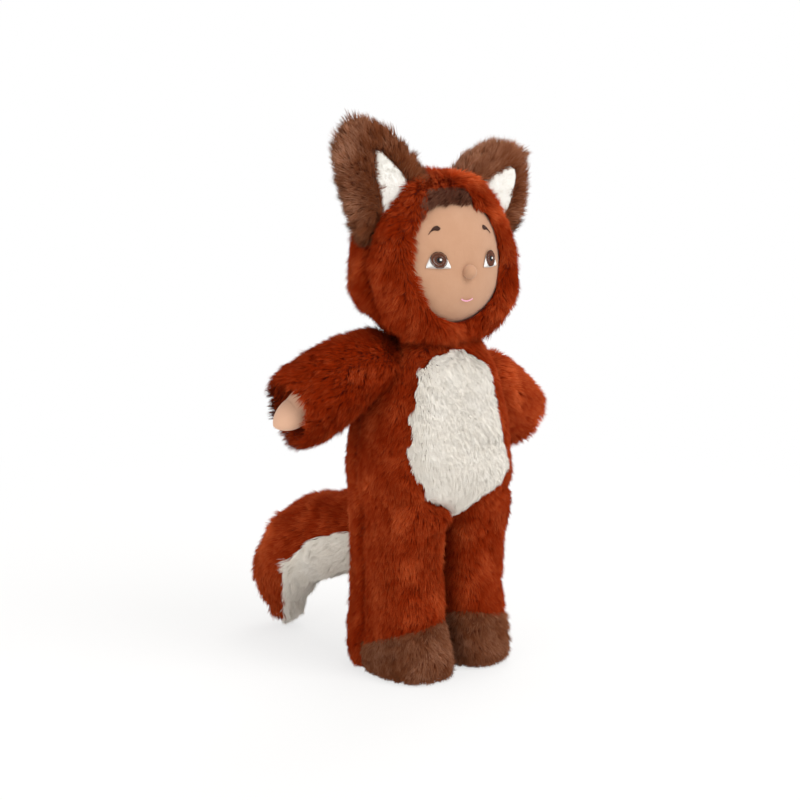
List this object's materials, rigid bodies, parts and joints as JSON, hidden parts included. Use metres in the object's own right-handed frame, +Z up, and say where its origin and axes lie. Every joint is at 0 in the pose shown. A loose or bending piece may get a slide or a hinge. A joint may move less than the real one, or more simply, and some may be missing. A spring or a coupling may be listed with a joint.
{
  "type": "soft doll in a plush fox suit",
  "caption": "Stuffed cloth doll in a hooded long-pile fox suit with lined ears, pale belly, brown toe caps and a curved tail, standing on flat soles with its arms held out.",
  "frame": {"origin": "centre of the toy's box on the floor it stands on", "axes": "+Z up along the height; the toy faces -Y, its right hand is on the -X side"},
  "size_m": [0.2052, 0.185, 0.3439],
  "materials": {
    "rust_plush": "long pile, combed downwards, shading towards brown at the roots",
    "brown_plush": "long pile, matt",
    "cream_plush": "long pile, matt",
    "hair_plush": "short dark pile",
    "skin_cloth": "brushed knit, matt",
    "lining_plush": "very short pile, matt",
    "brown_thread": "satin stitch",
    "white_thread": "satin stitch",
    "pink_thread": "satin stitch"
  },
  "bodies": {
    "torso": {"doll_torso": "skin_cloth", "suit_back": "rust_plush", "suit_side_right": "rust_plush", "suit_side_left": "rust_plush", "belly_panel": "cream_plush"},
    "neck": {"doll_neck": "skin_cloth"},
    "head": {"doll_head": "skin_cloth", "hood_back": "rust_plush", "hood_front": "rust_plush", "hair_tuft": "hair_plush", "nose": "skin_cloth", "mouth": "pink_thread", "iris_left": "brown_thread", "iris_right": "brown_thread", "eye_white_left": "white_thread", "eye_white_right": "white_thread", "brow_left": "brown_thread", "brow_right": "brown_thread"},
    "ear_right": {"ear_outer_right": "brown_plush", "ear_lining_right": "lining_plush"},
    "ear_left": {"ear_outer_left": "brown_plush", "ear_lining_left": "lining_plush"},
    "arm_right": {"sleeve_right": "rust_plush", "doll_arm_right": "skin_cloth"},
    "arm_left": {"sleeve_left": "rust_plush", "doll_arm_left": "skin_cloth"},
    "leg_right": {"doll_leg_right": "skin_cloth", "trouser_back_right": "rust_plush", "trouser_front_right": "rust_plush", "toe_cap_right": "brown_plush", "sole_right": "brown_plush"},
    "leg_left": {"doll_leg_left": "skin_cloth", "trouser_back_left": "rust_plush", "trouser_front_left": "rust_plush", "toe_cap_left": "brown_plush", "sole_left": "brown_plush"},
    "tail": {"tail_top": "rust_plush", "tail_under": "cream_plush"}
  },
  "joints": [
    {"name": "neck_turn", "type": "hinge", "parent": "torso", "child": "neck", "pos_m": [0.00361, -0.04734, 0.206], "axis": [0, 0, 1], "range_deg": [-30, 30], "stiffness_Nm_per_rad": 0.3},
    {"name": "head_nod", "type": "hinge", "parent": "neck", "child": "head", "pos_m": [0.00361, -0.04734, 0.206], "axis": [1, 0, 0], "range_deg": [-9, 9], "stiffness_Nm_per_rad": 0.8},
    {"name": "ear_right_fold", "type": "hinge", "parent": "head", "child": "ear_right", "pos_m": [-0.03139, -0.04434, 0.292], "axis": [0.9068, -0.2315, 0.3523], "range_deg": [-25, 25], "stiffness_Nm_per_rad": 0.04},
    {"name": "ear_left_fold", "type": "hinge", "parent": "head", "child": "ear_left", "pos_m": [0.04161, -0.04234, 0.283], "axis": [0.5621, -0.1139, -0.8192], "range_deg": [-25, 25], "stiffness_Nm_per_rad": 0.04},
    {"name": "arm_right_raise", "type": "hinge", "parent": "torso", "child": "arm_right", "pos_m": [-0.03939, -0.04434, 0.19], "axis": [0, 1, 0], "range_deg": [-29, 24], "stiffness_Nm_per_rad": 0.3},
    {"name": "arm_left_raise", "type": "hinge", "parent": "torso", "child": "arm_left", "pos_m": [0.04661, -0.04434, 0.183], "axis": [0, -1, 0], "range_deg": [-5, 45], "stiffness_Nm_per_rad": 0.3},
    {"name": "leg_right_swing", "type": "hinge", "parent": "torso", "child": "leg_right", "pos_m": [-0.02029, -0.04734, 0.082], "axis": [-1, 0, 0], "range_deg": [0, 60], "stiffness_Nm_per_rad": 1.2},
    {"name": "leg_left_swing", "type": "hinge", "parent": "torso", "child": "leg_left", "pos_m": [0.02751, -0.04734, 0.082], "axis": [-1, 0, 0], "range_deg": [0, 60], "stiffness_Nm_per_rad": 1.2},
    {"name": "tail_wag", "type": "hinge", "parent": "torso", "child": "tail", "pos_m": [0.00361, -0.00134, 0.086], "axis": [0, 0, 1], "range_deg": [-35, 15], "stiffness_Nm_per_rad": 0.15}
  ]
}
